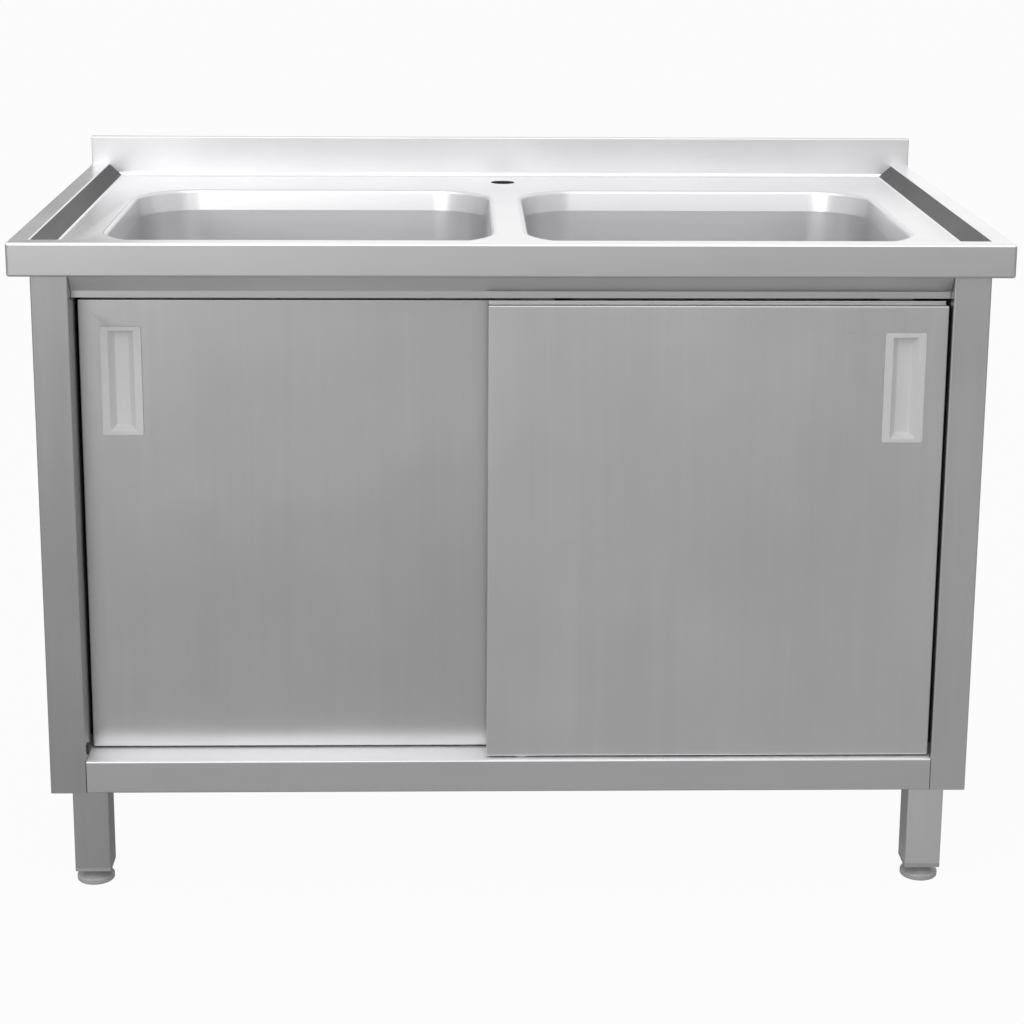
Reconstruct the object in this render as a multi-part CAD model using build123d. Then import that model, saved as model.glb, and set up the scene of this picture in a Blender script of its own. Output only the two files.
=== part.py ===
from build123d import *
import os
from math import atan2, tan

os.makedirs("parts", exist_ok=True)

# Frame: origin on the floor under the middle of the worktop, +X to the right, +Y to the back, +Z up.

# Fits shared by every piece.
seat_gap = 0.2
weld_gap = 0.3
running_gap = 0.3
panel_gap = 0.5
thread_clearance = 0.05
bolt_clearance = 0.4

# Worktop: one pressed sheet with a raised rim, a turned-down apron and a rear upstand.
worktop_width = 1200.0
worktop_depth = 700.0
worktop_sheet = 1.2
rim_side_flat = 24.0
rim_front_flat = 25.0
rim_slope_run = 20.0
deck_drop = 17.5
apron_height = 41.0
apron_return = 12.0
apron_corner_radius = 4.0
rim_edge_radius = 3.0
upstand_height = 40.0
upstand_thickness = 10.0
tap_hole_radius = 17.5
tap_hole_setback = 60.0

# Bowls: a rolled mouth, a leaning collar, steeper walls below it and a sunk waste seat.
bowl_width = 485.0
bowl_length = 435.0
bowl_drop = 250.0
bowl_corner_radius = 80.0
bowl_gap = 44.0
bowl_front_margin = 114.0
bowl_sheet = 1.2
bowl_flange = 14.0
bowl_roll_radius = 5.0
bowl_floor_radius = 40.0
collar_depth = 28.0
collar_lean = 3.5
collar_bend_radius = 1.5
bowl_wall_lean = 2.5
waste_hole_radius = 26.0
waste_seat_radius = 44.0
waste_slope_run = 6.0
waste_seat_drop = 4.0

# Cabinet: folded sheet sides with box-shaped front posts, a floor tray and a back panel.
body_side_inset = 25.0
body_front_inset = 15.0
body_back_inset = 15.0
body_sheet = 1.0
bend_radius = 1.6
post_width = 45.0
post_return = 72.0
post_lip = 14.0
side_rear_flange = 25.0
side_top_flange = 30.0
tray_rail_height = 42.0
tray_return = 60.0
tray_wing_fold = 25.0

# Front beam under the apron and rear beam under the upstand.
beam_lean = 15.0
beam_drop = 21.5
beam_zone_height = 38.0
beam_top_flange = 60.0
rear_beam_height = 50.0
rear_beam_top_flange = 30.0
rear_beam_foot_flange = 20.0

# Double door track: a top plate, two webs and a lipped ledge behind each web.
track_sheet = 1.5
track_web_offset = 11.0
track_ledge = 11.0
track_lip = 2.0
track_door_clearance = 7.3

# Doors: a folded front pan closed by a folded liner. The right door runs in front.
door_overlap = 60.0
door_thickness = 20.0
door_sheet = 1.0
door_floor_clearance = 2.5
door_side_gap = 3.0
door_edge_radius = 1.5
right_door_setback = 8.0
door_pitch = 37.0
door_height = 577.0
pan_fold = 5.5
liner_rise = 2.8
liner_top_fold = 4.0
liner_foot_fold = 7.5

# Recessed flush pulls.
pull_width = 50.0
pull_height = 136.0
pull_bezel = 1.8
pull_side_frame = 9.5
pull_end_frame = 5.0
pull_depth = 10.0
pull_side_slope = 7.0
pull_end_slope = 5.0
pull_wall = 1.5
pull_corner_radius = 2.5
pull_recess_radius = 1.0
pull_bezel_radius = 0.8
pull_edge_inset = 26.0
pull_top_inset = 33.5
pull_fit = 0.5

# Hangers, rollers and their pins.
hanger_width = 40.0
hanger_sheet = 2.0
hanger_offset = 25.0
hanger_inset = 60.0
hanger_foot = 18.0
hanger_foot_drop = 30.0
hanger_joggle = 6.0
hanger_head = 10.0
hanger_bolt_radius = 2.5
hanger_bolt_pitch = 24.0
hanger_bolt_head_radius = 4.6
hanger_bolt_head_height = 2.6
hanger_bolt_tail = 4.0
roller_radius = 11.0
roller_width = 6.0
roller_offset = 17.5
roller_hub_radius = 6.5
roller_hub_step = 0.8
pin_radius = 3.0
pin_shoulder_radius = 5.0
pin_head_radius = 4.6
pin_head_height = 1.0

# Centre guide and edge buffers.
guide_inset = 16.0
guide_length = 12.0
guide_base = 1.5
guide_fin = 3.0
guide_fin_height = 11.0
guide_fin_offset = 9.0
guide_end_margin = 4.0
guide_screw_radius = 1.8
guide_screw_head_radius = 3.2
guide_screw_length = 9.0
buffer_height = 12.0
buffer_width = 12.0
buffer_clearance = 0.6

# Legs, their end plugs and the levelling feet.
leg_tube = 45.0
leg_wall = 1.5
leg_corner_radius = 2.5
leg_height = 101.5
leg_side_inset = 26.3
leg_front_inset = 2.3
leg_cap = 4.0
plug_collar = 5.0
plug_height = 25.0
plug_fit = 0.2
foot_clearance = 19.0
foot_radius = 23.5
foot_wall = 7.5
foot_shoulder_radius = 11.0
foot_shoulder_height = 14.0
foot_neck_radius = 9.0
foot_edge_radius = 2.5
spindle_radius = 6.0
spindle_length = 42.0
corner_plate_sheet = 3.0
corner_plate_reach = 31.0
corner_notch_height = 12.0
leg_bolt_radius = 5.0
leg_bolt_head_radius = 9.0
leg_bolt_head_height = 6.4
leg_bolt_tail = 2.0

# Levels, measured up from the floor. The stack of feet, legs, tray and doors sets the worktop's height.
plug_bottom = foot_clearance
leg_bottom = plug_bottom + plug_collar
leg_top = leg_bottom + leg_height
body_bottom = leg_top
tray_top = body_bottom + tray_rail_height
door_bottom = tray_top + door_floor_clearance
door_top = door_bottom + door_height
apron_bottom = door_top + beam_zone_height
rim_z = apron_bottom + apron_height
deck_z = rim_z - deck_drop
upstand_top = rim_z + upstand_height
frame_top = deck_z - worktop_sheet - weld_gap
track_bottom = door_top + track_door_clearance
ledge_top = track_bottom + track_sheet
roller_z = ledge_top + roller_radius + running_gap
beam_bottom = apron_bottom - beam_drop
pull_z = door_top - pull_top_inset - pull_height / 2
hanger_foot_top = door_top - hanger_foot_drop + hanger_foot
hanger_bolt_z = hanger_foot_top - hanger_foot / 2
corner_plate_low = body_bottom + body_sheet + seat_gap
corner_plate_top = corner_plate_low + corner_plate_sheet
guide_low = tray_top + seat_gap

# Plan positions.
worktop_front = -worktop_depth / 2
worktop_back = worktop_depth / 2
upstand_face = worktop_back - upstand_thickness
tap_hole_y = upstand_face - tap_hole_setback
body_half = worktop_width / 2 - body_side_inset
body_front = worktop_front + body_front_inset
body_back = worktop_back - body_back_inset
opening_half = body_half - post_width
half_sheet = body_sheet / 2
panel_back = body_back - body_sheet - seat_gap
panel_front = panel_back - body_sheet
bowl_x = (bowl_width + bowl_gap) / 2
bowl_y = worktop_front + bowl_front_margin + bowl_length / 2
leg_x = body_half - leg_side_inset - leg_tube / 2
leg_front_y = body_front + leg_front_inset + leg_tube / 2
leg_back_y = body_back - leg_front_inset - leg_tube / 2
leg_places = [
    ("front_left", -leg_x, leg_front_y),
    ("front_right", leg_x, leg_front_y),
    ("rear_left", -leg_x, leg_back_y),
    ("rear_right", leg_x, leg_back_y),
]
right_door_face = body_front + right_door_setback
left_door_face = right_door_face + door_pitch
door_width = opening_half - door_side_gap + door_overlap / 2
right_door_x = opening_half - door_side_gap - door_width / 2
left_door_x = -right_door_x
hanger_reach = door_width / 2 - hanger_inset
pull_reach = door_width / 2 - pull_edge_inset - pull_width / 2
guide_x = door_overlap / 2 - guide_inset
guide_front = right_door_face + guide_fin_offset - guide_end_margin
guide_back = left_door_face + guide_fin_offset + guide_fin + guide_end_margin
guide_screw_y = (guide_front + guide_back) / 2
leg_bolt_relief = leg_bolt_radius + bolt_clearance


def block(x_span, y_span, z_span):
    """Box between two planes on each axis."""
    size_x = x_span[1] - x_span[0]
    size_y = y_span[1] - y_span[0]
    size_z = z_span[1] - z_span[0]
    centre = (sum(x_span) / 2, sum(y_span) / 2, sum(z_span) / 2)
    return Pos(*centre) * Box(size_x, size_y, size_z)


def rod_z(x, y, z_span, radius):
    """Upright cylinder."""
    length = z_span[1] - z_span[0]
    return Pos(x, y, sum(z_span) / 2) * Cylinder(radius, length)


def rod_y(x, z, y_span, radius):
    """Cylinder lying front to back."""
    length = y_span[1] - y_span[0]
    return Pos(x, sum(y_span) / 2, z) * Rot(90, 0, 0) * Cylinder(radius, length)


def folded_section(points, thickness, radius):
    """Sheet section whose middle line runs through the points, with rounded bends."""
    return trace(FilletPolyline(*points, radius=radius), line_width=thickness)


def folded_along_x(points, x_span, thickness, radius=bend_radius):
    """Folded sheet with the same section (y, z) all along X."""
    section = Plane.YZ.offset(x_span[0]) * folded_section(points, thickness, radius)
    return extrude(section, amount=x_span[1] - x_span[0], dir=(1, 0, 0))


def folded_along_z(points, z_span, thickness, radius=bend_radius):
    """Folded sheet with the same section (x, y) all the way up."""
    section = Plane.XY.offset(z_span[0]) * folded_section(points, thickness, radius)
    return extrude(section, amount=z_span[1] - z_span[0], dir=(0, 0, 1))


def frustum(low_rect, high_rect):
    """Solid between two level rectangles, each given as x_span, y_span, z."""
    faces = []
    for x_span, y_span, z in (low_rect, high_rect):
        centre = Pos(sum(x_span) / 2, sum(y_span) / 2, z)
        faces.append(centre * Rectangle(x_span[1] - x_span[0], y_span[1] - y_span[0]))
    return loft(faces)


def save(shape, node):
    export_step(shape, f"parts/{node}.step")


# Worktop ---------------------------------------------------------------------------------

def slab(inset, radius_loss):
    """Worktop block, or the block of its inside when inset by the sheet."""
    half = worktop_width / 2 - inset
    front = worktop_front + inset
    back = worktop_back - inset
    body = block((-half, half), (front, back), (apron_bottom + inset, rim_z - inset))
    uprights = body.edges().filter_by(Axis.Z).sort_by(Axis.Y)[:2]
    body = fillet(uprights, apron_corner_radius - radius_loss)
    level = body.edges().filter_by(Axis.Z, reverse=True)
    outline = [edge for edge in level if edge.center().Y < back - rim_edge_radius]
    return fillet(outline, rim_edge_radius - radius_loss)


def recess(growth, shift):
    """Space above the deck, inside the rim. Growth and shift give its underside twin."""
    top_half = worktop_width / 2 - rim_side_flat + growth
    top_front = worktop_front + rim_front_flat - growth
    back = upstand_face + shift
    low = (
        (-top_half + rim_slope_run, top_half - rim_slope_run),
        (top_front + rim_slope_run, back),
        deck_z - shift,
    )
    high = ((-top_half, top_half), (top_front, back), rim_z - shift)
    return frustum(low, high)


def bowl_opening(margin):
    """Rounded outline of a bowl's mouth, widened by a margin."""
    return RectangleRounded(
        bowl_width + 2 * margin,
        bowl_length + 2 * margin,
        bowl_corner_radius + margin,
    )


def make_worktop():
    slope_angle = atan2(deck_drop, rim_slope_run)
    mitre = worktop_sheet * tan(slope_angle / 2)
    half = worktop_width / 2
    top = slab(0.0, 0.0)
    top += block((-half, half), (upstand_face, worktop_back), (deck_z, upstand_top))
    inside = slab(worktop_sheet, worktop_sheet) - recess(mitre, worktop_sheet)
    inner_half = half - worktop_sheet
    inside += block(
        (-inner_half, inner_half),
        (upstand_face + worktop_sheet, worktop_back - worktop_sheet),
        (apron_bottom + worktop_sheet, upstand_top - worktop_sheet),
    )
    lip_half = half - apron_return
    lip_front = worktop_front + apron_return
    lip_back = worktop_back - apron_return
    inside += block(
        (-lip_half, lip_half),
        (lip_front, lip_back),
        (apron_bottom - worktop_sheet, apron_bottom + 2 * worktop_sheet),
    )
    top = top - recess(0.0, 0.0) - inside
    for side in (-1, 1):
        outline = Pos(side * bowl_x, bowl_y, deck_z + worktop_sheet)
        cutter = extrude(outline * bowl_opening(bowl_flange + weld_gap), amount=-3 * worktop_sheet)
        top -= cutter
    top -= rod_z(0, tap_hole_y, (deck_z - 2 * worktop_sheet, deck_z + worktop_sheet), tap_hole_radius)
    return top


# Bowls -----------------------------------------------------------------------------------

def bowl_wall_section():
    """Half section (distance from the corner axis, z) from the flange to the floor."""
    half = bowl_sheet / 2
    mouth = bowl_corner_radius + half
    collar_foot = mouth - collar_lean
    foot = collar_foot - bowl_wall_lean
    floor = deck_z - bowl_drop + half
    top = deck_z - half
    points = [
        (bowl_corner_radius + bowl_flange, top),
        (mouth, top),
        (collar_foot, deck_z - collar_depth),
        (foot, floor),
        (0, floor),
    ]
    bends = [bowl_roll_radius, collar_bend_radius, bowl_floor_radius]
    line = FilletPolyline(*points, radius=bends)
    return trace(line, line_width=bowl_sheet)


def make_bowl(x):
    run_x = bowl_width / 2 - bowl_corner_radius
    run_y = bowl_length / 2 - bowl_corner_radius
    section = bowl_wall_section()
    quarter = revolve(Plane.XZ * section, axis=Axis.Z, revolution_arc=-90)
    side_wall = extrude(Plane.XZ.offset(-run_y) * section, amount=2 * run_y, dir=(0, -1, 0))
    end_wall = extrude(Plane.YZ.offset(-run_x) * section, amount=2 * run_x, dir=(1, 0, 0))
    floor_z = deck_z - bowl_drop
    bowl = block((-run_x, run_x), (-run_y, run_y), (floor_z, floor_z + bowl_sheet))
    corner = Pos(run_x, -run_y, 0) * quarter
    bowl += [corner, mirror(corner, Plane.YZ), mirror(corner, Plane.XZ)]
    bowl += mirror(mirror(corner, Plane.XZ), Plane.YZ)
    bowl += [Pos(run_x, 0, 0) * side_wall, mirror(Pos(run_x, 0, 0) * side_wall, Plane.YZ)]
    bowl += [Pos(0, run_y, 0) * end_wall, mirror(Pos(0, run_y, 0) * end_wall, Plane.XZ)]
    outer = waste_seat_radius + waste_slope_run
    bowl -= rod_z(0, 0, (floor_z - bowl_sheet, floor_z + 2 * bowl_sheet), outer)
    middle = floor_z + bowl_sheet / 2
    seat = [
        (outer + bowl_sheet, middle),
        (outer, middle),
        (waste_seat_radius, middle - waste_seat_drop),
        (waste_hole_radius, middle - waste_seat_drop),
    ]
    bowl += revolve(Plane.XZ * folded_section(seat, bowl_sheet, bowl_sheet), axis=Axis.Z)
    return Pos(x, bowl_y, 0) * bowl


# Cabinet ---------------------------------------------------------------------------------

def make_side_panel():
    """Right side: rear flange, outer wall, post face, post return and inner lip."""
    wall = body_half - half_sheet
    inner = opening_half + half_sheet
    front = body_front + half_sheet
    back = body_back - half_sheet
    deep = body_front + post_return - half_sheet
    points = [
        (inner + post_lip, deep),
        (inner, deep),
        (inner, front),
        (wall, front),
        (wall, back),
        (wall - side_rear_flange, back),
    ]
    panel = folded_along_z(points, (body_bottom, frame_top), body_sheet)
    top_y = (body_front + post_return + panel_gap, panel_front - seat_gap)
    panel += block((wall - side_top_flange, wall), top_y, (frame_top - body_sheet, frame_top))
    foot_y = (front, back)
    panel += block((opening_half, wall), foot_y, (body_bottom, body_bottom + body_sheet))
    notch_z = (body_bottom + body_sheet, body_bottom + body_sheet + corner_notch_height)
    notch_y = (body_front + body_sheet + bend_radius, body_front + post_return)
    panel -= block((opening_half - body_sheet, inner + body_sheet), notch_y, notch_z)
    for _, x, y in leg_places:
        panel -= rod_z(x, y, (body_bottom - body_sheet, body_bottom + 2 * body_sheet), leg_bolt_relief)
    return panel


def make_floor_tray():
    front = body_front + half_sheet
    back = panel_front - seat_gap - half_sheet
    top = tray_top - half_sheet
    foot = body_bottom + half_sheet
    points = [
        (front + tray_return, foot),
        (front, foot),
        (front, top),
        (back, top),
        (back, foot),
        (back - tray_return, foot),
    ]
    half = opening_half - panel_gap
    tray = folded_along_x(points, (-half, half), body_sheet)
    wing_y = (body_front + post_return + panel_gap, back - bend_radius)
    edge = body_half - body_sheet - panel_gap
    for side in (-1, 1):
        reach = sorted((side * (half - body_sheet), side * edge))
        fold = sorted((side * (edge - body_sheet), side * edge))
        tray += block(reach, wing_y, (tray_top - body_sheet, tray_top))
        tray += block(fold, wing_y, (tray_top - tray_wing_fold, tray_top))
    for _, x, y in leg_places:
        tray -= rod_z(x, y, (body_bottom - body_sheet, body_bottom + 2 * body_sheet), leg_bolt_relief)
    tray -= guide_screw_hole()
    return tray


def make_back_panel():
    half = body_half - body_sheet - bend_radius
    low = body_bottom + body_sheet + seat_gap
    high = frame_top - body_sheet - seat_gap
    return block((-half, half), (panel_front, panel_back), (low, high))


def make_front_beam():
    front = body_front + half_sheet
    top = frame_top - half_sheet
    points = [
        (front + beam_lean, beam_bottom),
        (front, apron_bottom - half_sheet),
        (front, top),
        (front + beam_top_flange, top),
    ]
    half = opening_half - panel_gap
    return folded_along_x(points, (-half, half), body_sheet)


def make_rear_beam():
    back = panel_front - seat_gap - half_sheet
    top = frame_top - half_sheet
    foot = top - rear_beam_height
    points = [
        (back - rear_beam_top_flange, top),
        (back, top),
        (back, foot),
        (back - rear_beam_foot_flange, foot),
    ]
    half = body_half - side_top_flange - body_sheet - panel_gap
    return folded_along_x(points, (-half, half), body_sheet)


def make_door_track():
    half = opening_half - panel_gap
    span = (-half, half)
    top = frame_top - body_sheet - weld_gap
    webs = [right_door_face + track_web_offset, left_door_face + track_web_offset]
    plate_y = (webs[0] - track_sheet / 2, webs[-1] + track_sheet / 2 + track_ledge)
    track = block(span, plate_y, (top - track_sheet, top))
    for web in webs:
        front = web - track_sheet / 2
        back = web + track_sheet / 2 + track_ledge
        track += block(span, (front, front + track_sheet), (track_bottom, top))
        track += block(span, (front, back), (track_bottom, ledge_top))
        track += block(span, (back - track_sheet, back), (track_bottom, ledge_top + track_lip))
    return track


# Legs and feet ---------------------------------------------------------------------------

def make_leg(x, y):
    outer = Pos(x, y, leg_bottom) * RectangleRounded(leg_tube, leg_tube, leg_corner_radius)
    bore = leg_tube - 2 * leg_wall
    inner = Pos(x, y, leg_bottom) * RectangleRounded(bore, bore, leg_corner_radius - leg_wall)
    height = leg_height - seat_gap
    leg = extrude(outer, amount=height) - extrude(inner, amount=height - leg_cap)
    top = leg_bottom + height
    return leg - rod_z(x, y, (top - 2 * leg_cap, top + leg_cap), leg_bolt_radius + thread_clearance)


def make_leg_plug(x, y):
    bore = leg_tube - 2 * leg_wall - 2 * plug_fit
    body = Pos(x, y, plug_bottom) * RectangleRounded(bore, bore, leg_corner_radius - leg_wall)
    collar = Pos(x, y, plug_bottom) * RectangleRounded(leg_tube, leg_tube, leg_corner_radius)
    plug = extrude(body, amount=plug_collar + plug_height)
    plug += extrude(collar, amount=plug_collar - seat_gap)
    top = plug_bottom + plug_collar + plug_height
    return plug - rod_z(x, y, (plug_bottom - plug_collar, top + plug_collar), spindle_radius + thread_clearance)


def make_foot(x, y):
    neck_top = foot_clearance - running_gap
    outline = [
        (0, 0),
        (foot_radius, 0),
        (foot_radius, foot_wall),
        (foot_shoulder_radius, foot_shoulder_height),
        (foot_neck_radius, foot_shoulder_height),
        (foot_neck_radius, neck_top),
        (spindle_radius, neck_top),
        (spindle_radius, neck_top + spindle_length),
        (0, neck_top + spindle_length),
        (0, 0),
    ]
    foot = revolve(Plane.XZ * make_face(Polyline(*outline)), axis=Axis.Z)
    rims = foot.edges().filter_by(GeomType.CIRCLE)
    rims = [edge for edge in rims if edge.radius > foot_radius - foot_edge_radius / 2]
    return Pos(x, y, 0) * fillet(rims, foot_edge_radius)


def corner_plate_spans(x, y):
    """Plan spans of the plate that ties a leg to the folded flanges above it."""
    side = 1 if x > 0 else -1
    end = 1 if y > 0 else -1
    outer_x = body_half - body_sheet - bend_radius
    outer_y = (panel_front - seat_gap if end > 0 else -body_front) - body_sheet - bend_radius
    x_span = sorted((x - side * corner_plate_reach, side * outer_x))
    y_span = sorted((y - end * corner_plate_reach, end * outer_y))
    return x_span, y_span


def make_corner_plate(x, y):
    x_span, y_span = corner_plate_spans(x, y)
    plate = block(x_span, y_span, (corner_plate_low, corner_plate_top))
    return plate - rod_z(x, y, (body_bottom, corner_plate_top + corner_plate_sheet), leg_bolt_relief)


def make_leg_bolt(x, y):
    head_low = corner_plate_top + seat_gap
    tail = leg_top - seat_gap - leg_cap - leg_bolt_tail
    head = Pos(x, y, head_low) * RegularPolygon(leg_bolt_head_radius, 6)
    return extrude(head, amount=leg_bolt_head_height) + rod_z(x, y, (tail, head_low), leg_bolt_radius)


# Doors -----------------------------------------------------------------------------------

def door_spans(x, face):
    half = door_width / 2
    return (x - half, x + half), (face, face + door_thickness), (door_bottom, door_top)


def make_door_pan(x, face, pull_x):
    x_span, y_span, z_span = door_spans(x, face)
    pan = block(x_span, y_span, z_span)
    front = pan.faces().sort_by(Axis.Y)[0]
    pan = fillet(front.edges(), door_edge_radius)
    pan -= block(
        (x_span[0] + door_sheet, x_span[1] - door_sheet),
        (face + door_sheet, y_span[1] + door_sheet),
        (z_span[0] + door_sheet, z_span[1] - door_sheet),
    )
    pan -= block(
        (x_span[0] + door_sheet, x_span[1] - door_sheet),
        (face + pan_fold, y_span[1] + door_sheet),
        (z_span[0] - door_sheet, z_span[1] + door_sheet),
    )
    cup_width = pull_width - 2 * pull_side_frame + 2 * pull_wall + 2 * pull_fit
    cup_height = pull_height - 2 * pull_end_frame + 2 * pull_wall + 2 * pull_fit
    mouth = RectangleRounded(cup_width, cup_height, pull_recess_radius + pull_wall + pull_fit)
    place = Plane((pull_x, face - door_sheet, pull_z), x_dir=(1, 0, 0), z_dir=(0, 1, 0))
    return pan - extrude(place * mouth, amount=3 * door_sheet)


def make_door_liner(x, face):
    x_span, y_span, z_span = door_spans(x, face)
    back = y_span[1] - door_sheet / 2
    low = z_span[0] + door_sheet / 2
    high = z_span[1] + liner_rise - door_sheet / 2
    points = [
        (y_span[1] - liner_top_fold, high),
        (back, high),
        (back, low),
        (y_span[1] - liner_foot_fold, low),
    ]
    inset = door_sheet + seat_gap
    liner = folded_along_x(points, (x_span[0] + inset, x_span[1] - inset), door_sheet)
    for bolt_x in hanger_bolt_places(x):
        y_cut = (y_span[1] - 2 * door_sheet, y_span[1] + door_sheet)
        liner -= rod_y(bolt_x, hanger_bolt_z, y_cut, hanger_bolt_radius + thread_clearance)
    return liner


def recess_outline(x, y, shrink, growth):
    """Rounded rectangle across the pull at depth y; shrink runs from 0 at the mouth to 1 at the floor."""
    width = pull_width - 2 * (pull_side_frame + shrink * pull_side_slope - growth)
    height = pull_height - 2 * (pull_end_frame + shrink * pull_end_slope - growth)
    place = Plane((x, y, pull_z), x_dir=(1, 0, 0), z_dir=(0, 1, 0))
    return place * RectangleRounded(width, height, pull_recess_radius + growth)


def make_pull(x, face):
    """Bezel on the door face with a cup of sloped walls sunk behind it."""
    seat = face - seat_gap
    front = seat - pull_bezel
    floor = front + pull_depth
    place = Plane((x, seat, pull_z), x_dir=(1, 0, 0), z_dir=(0, -1, 0))
    bezel = extrude(place * RectangleRounded(pull_width, pull_height, pull_corner_radius), amount=pull_bezel)
    bezel = fillet(bezel.faces().sort_by(Axis.Y)[0].edges(), pull_bezel_radius)
    cup = loft([recess_outline(x, seat, 0, pull_wall), recess_outline(x, floor + pull_wall, 1, pull_wall)])
    hollow = loft([recess_outline(x, front, 0, 0), recess_outline(x, floor, 1, 0)])
    return bezel + cup - hollow


# Hangers and rollers ---------------------------------------------------------------------

def hanger_places(x):
    return [x - hanger_reach, x + hanger_reach]


def hanger_bolt_places(x):
    offsets = (-hanger_bolt_pitch / 2, hanger_bolt_pitch / 2)
    return [place + offset for place in hanger_places(x) for offset in offsets]


def make_hangers(x, face):
    foot_y = face + door_thickness + seat_gap + hanger_sheet / 2
    head_y = face + hanger_offset
    points = [
        (foot_y, hanger_foot_top - hanger_foot),
        (foot_y, hanger_foot_top),
        (head_y, hanger_foot_top + hanger_joggle),
        (head_y, roller_z + hanger_head),
    ]
    plates = []
    for place in hanger_places(x):
        span = (place - hanger_width / 2, place + hanger_width / 2)
        plate = folded_along_x(points, span, hanger_sheet, hanger_sheet)
        plate -= rod_y(place, roller_z, (head_y - hanger_sheet, head_y + hanger_sheet), pin_radius)
        for side in (-1, 1):
            hole_x = place + side * hanger_bolt_pitch / 2
            hole_y = (foot_y - hanger_sheet, foot_y + hanger_sheet)
            plate -= rod_y(hole_x, hanger_bolt_z, hole_y, hanger_bolt_radius + bolt_clearance)
        plates.append(plate)
    return Compound(children=plates)


def make_hanger_bolts(x, face):
    back = face + door_thickness + hanger_sheet + 2 * seat_gap
    tip = face + door_thickness - door_sheet - hanger_bolt_tail
    bolts = []
    for place in hanger_bolt_places(x):
        shank = rod_y(place, hanger_bolt_z, (tip, back), hanger_bolt_radius)
        head_y = (back, back + hanger_bolt_head_height)
        bolts.append(shank + rod_y(place, hanger_bolt_z, head_y, hanger_bolt_head_radius))
    return Compound(children=bolts)


def make_roller_pins(x, face):
    front = face + hanger_offset - hanger_sheet / 2
    back = face + hanger_offset + hanger_sheet / 2
    roller_front = face + roller_offset - roller_width / 2
    roller_back = face + roller_offset + roller_width / 2
    head_end = roller_front - running_gap
    pins = []
    for place in hanger_places(x):
        pin = rod_y(place, roller_z, (head_end, back + pin_head_height), pin_radius)
        pin += rod_y(place, roller_z, (back + seat_gap, back + seat_gap + pin_head_height), pin_head_radius)
        pin += rod_y(place, roller_z, (roller_back + running_gap, front - seat_gap), pin_shoulder_radius)
        pin += rod_y(place, roller_z, (head_end - pin_head_height, head_end), pin_head_radius)
        pins.append(pin)
    return Compound(children=pins)


def make_roller(x, face):
    """Plastic wheel with a raised hub ring on each face."""
    half = roller_width / 2
    y = face + roller_offset
    wheel = rod_y(x, roller_z, (y - half + roller_hub_step, y + half - roller_hub_step), roller_radius)
    wheel += rod_y(x, roller_z, (y - half, y + half), roller_hub_radius)
    return wheel - rod_y(x, roller_z, (y - roller_width, y + roller_width), pin_radius + thread_clearance)


# Guide and buffers -----------------------------------------------------------------------

def guide_screw_hole():
    hole_z = (tray_top - 3 * body_sheet, tray_top + body_sheet)
    return rod_z(guide_x, guide_screw_y, hole_z, guide_screw_radius + thread_clearance)


def make_centre_guide():
    span = (guide_x - guide_length / 2, guide_x + guide_length / 2)
    guide = block(span, (guide_front, guide_back), (guide_low, guide_low + guide_base))
    for face in (right_door_face, left_door_face):
        fin_y = (face + guide_fin_offset - guide_fin / 2, face + guide_fin_offset + guide_fin / 2)
        guide += block(span, fin_y, (guide_low, guide_low + guide_fin_height))
    hole_z = (guide_low - guide_base, guide_low + 2 * guide_base)
    return guide - rod_z(guide_x, guide_screw_y, hole_z, guide_screw_radius + bolt_clearance)


def make_guide_screw():
    top = guide_low + guide_base + seat_gap
    shank = rod_z(guide_x, guide_screw_y, (top - guide_screw_length, top), guide_screw_radius)
    head = rod_z(guide_x, guide_screw_y, (top, top + guide_screw_radius), guide_screw_head_radius)
    return shank + head


def make_door_buffers():
    """Four soft pads low on the post returns, one at each end of each door's plane."""
    inner = opening_half - seat_gap
    outer = opening_half - door_side_gap + buffer_clearance
    pads = []
    for face in (right_door_face, left_door_face):
        middle = face + door_thickness / 2
        y_span = (middle - buffer_width / 2, middle + buffer_width / 2)
        z_span = (door_bottom + door_floor_clearance, door_bottom + door_floor_clearance + buffer_height)
        for side in (-1, 1):
            pads.append(block(sorted((side * inner, side * outer)), y_span, z_span))
    return Compound(children=pads)


# Write every node --------------------------------------------------------------------------

save(make_worktop(), "worktop")
save(make_bowl(-bowl_x), "left_bowl")
save(make_bowl(bowl_x), "right_bowl")
right_side = make_side_panel()
save(right_side, "right_side_panel")
save(mirror(right_side, Plane.YZ), "left_side_panel")
save(make_floor_tray(), "floor_tray")
save(make_back_panel(), "back_panel")
save(make_front_beam(), "front_beam")
save(make_rear_beam(), "rear_beam")
save(make_door_track(), "door_track")
save(make_centre_guide(), "centre_guide")
save(make_guide_screw(), "guide_screw")
save(make_door_buffers(), "door_buffers")

for name, leg_place_x, leg_place_y in leg_places:
    save(make_leg(leg_place_x, leg_place_y), f"{name}_leg")
    save(make_leg_plug(leg_place_x, leg_place_y), f"{name}_leg_plug")
    save(make_foot(leg_place_x, leg_place_y), f"{name}_foot")
save(Compound(children=[make_corner_plate(x, y) for _, x, y in leg_places]), "corner_plates")
save(Compound(children=[make_leg_bolt(x, y) for _, x, y in leg_places]), "leg_bolts")

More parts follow.
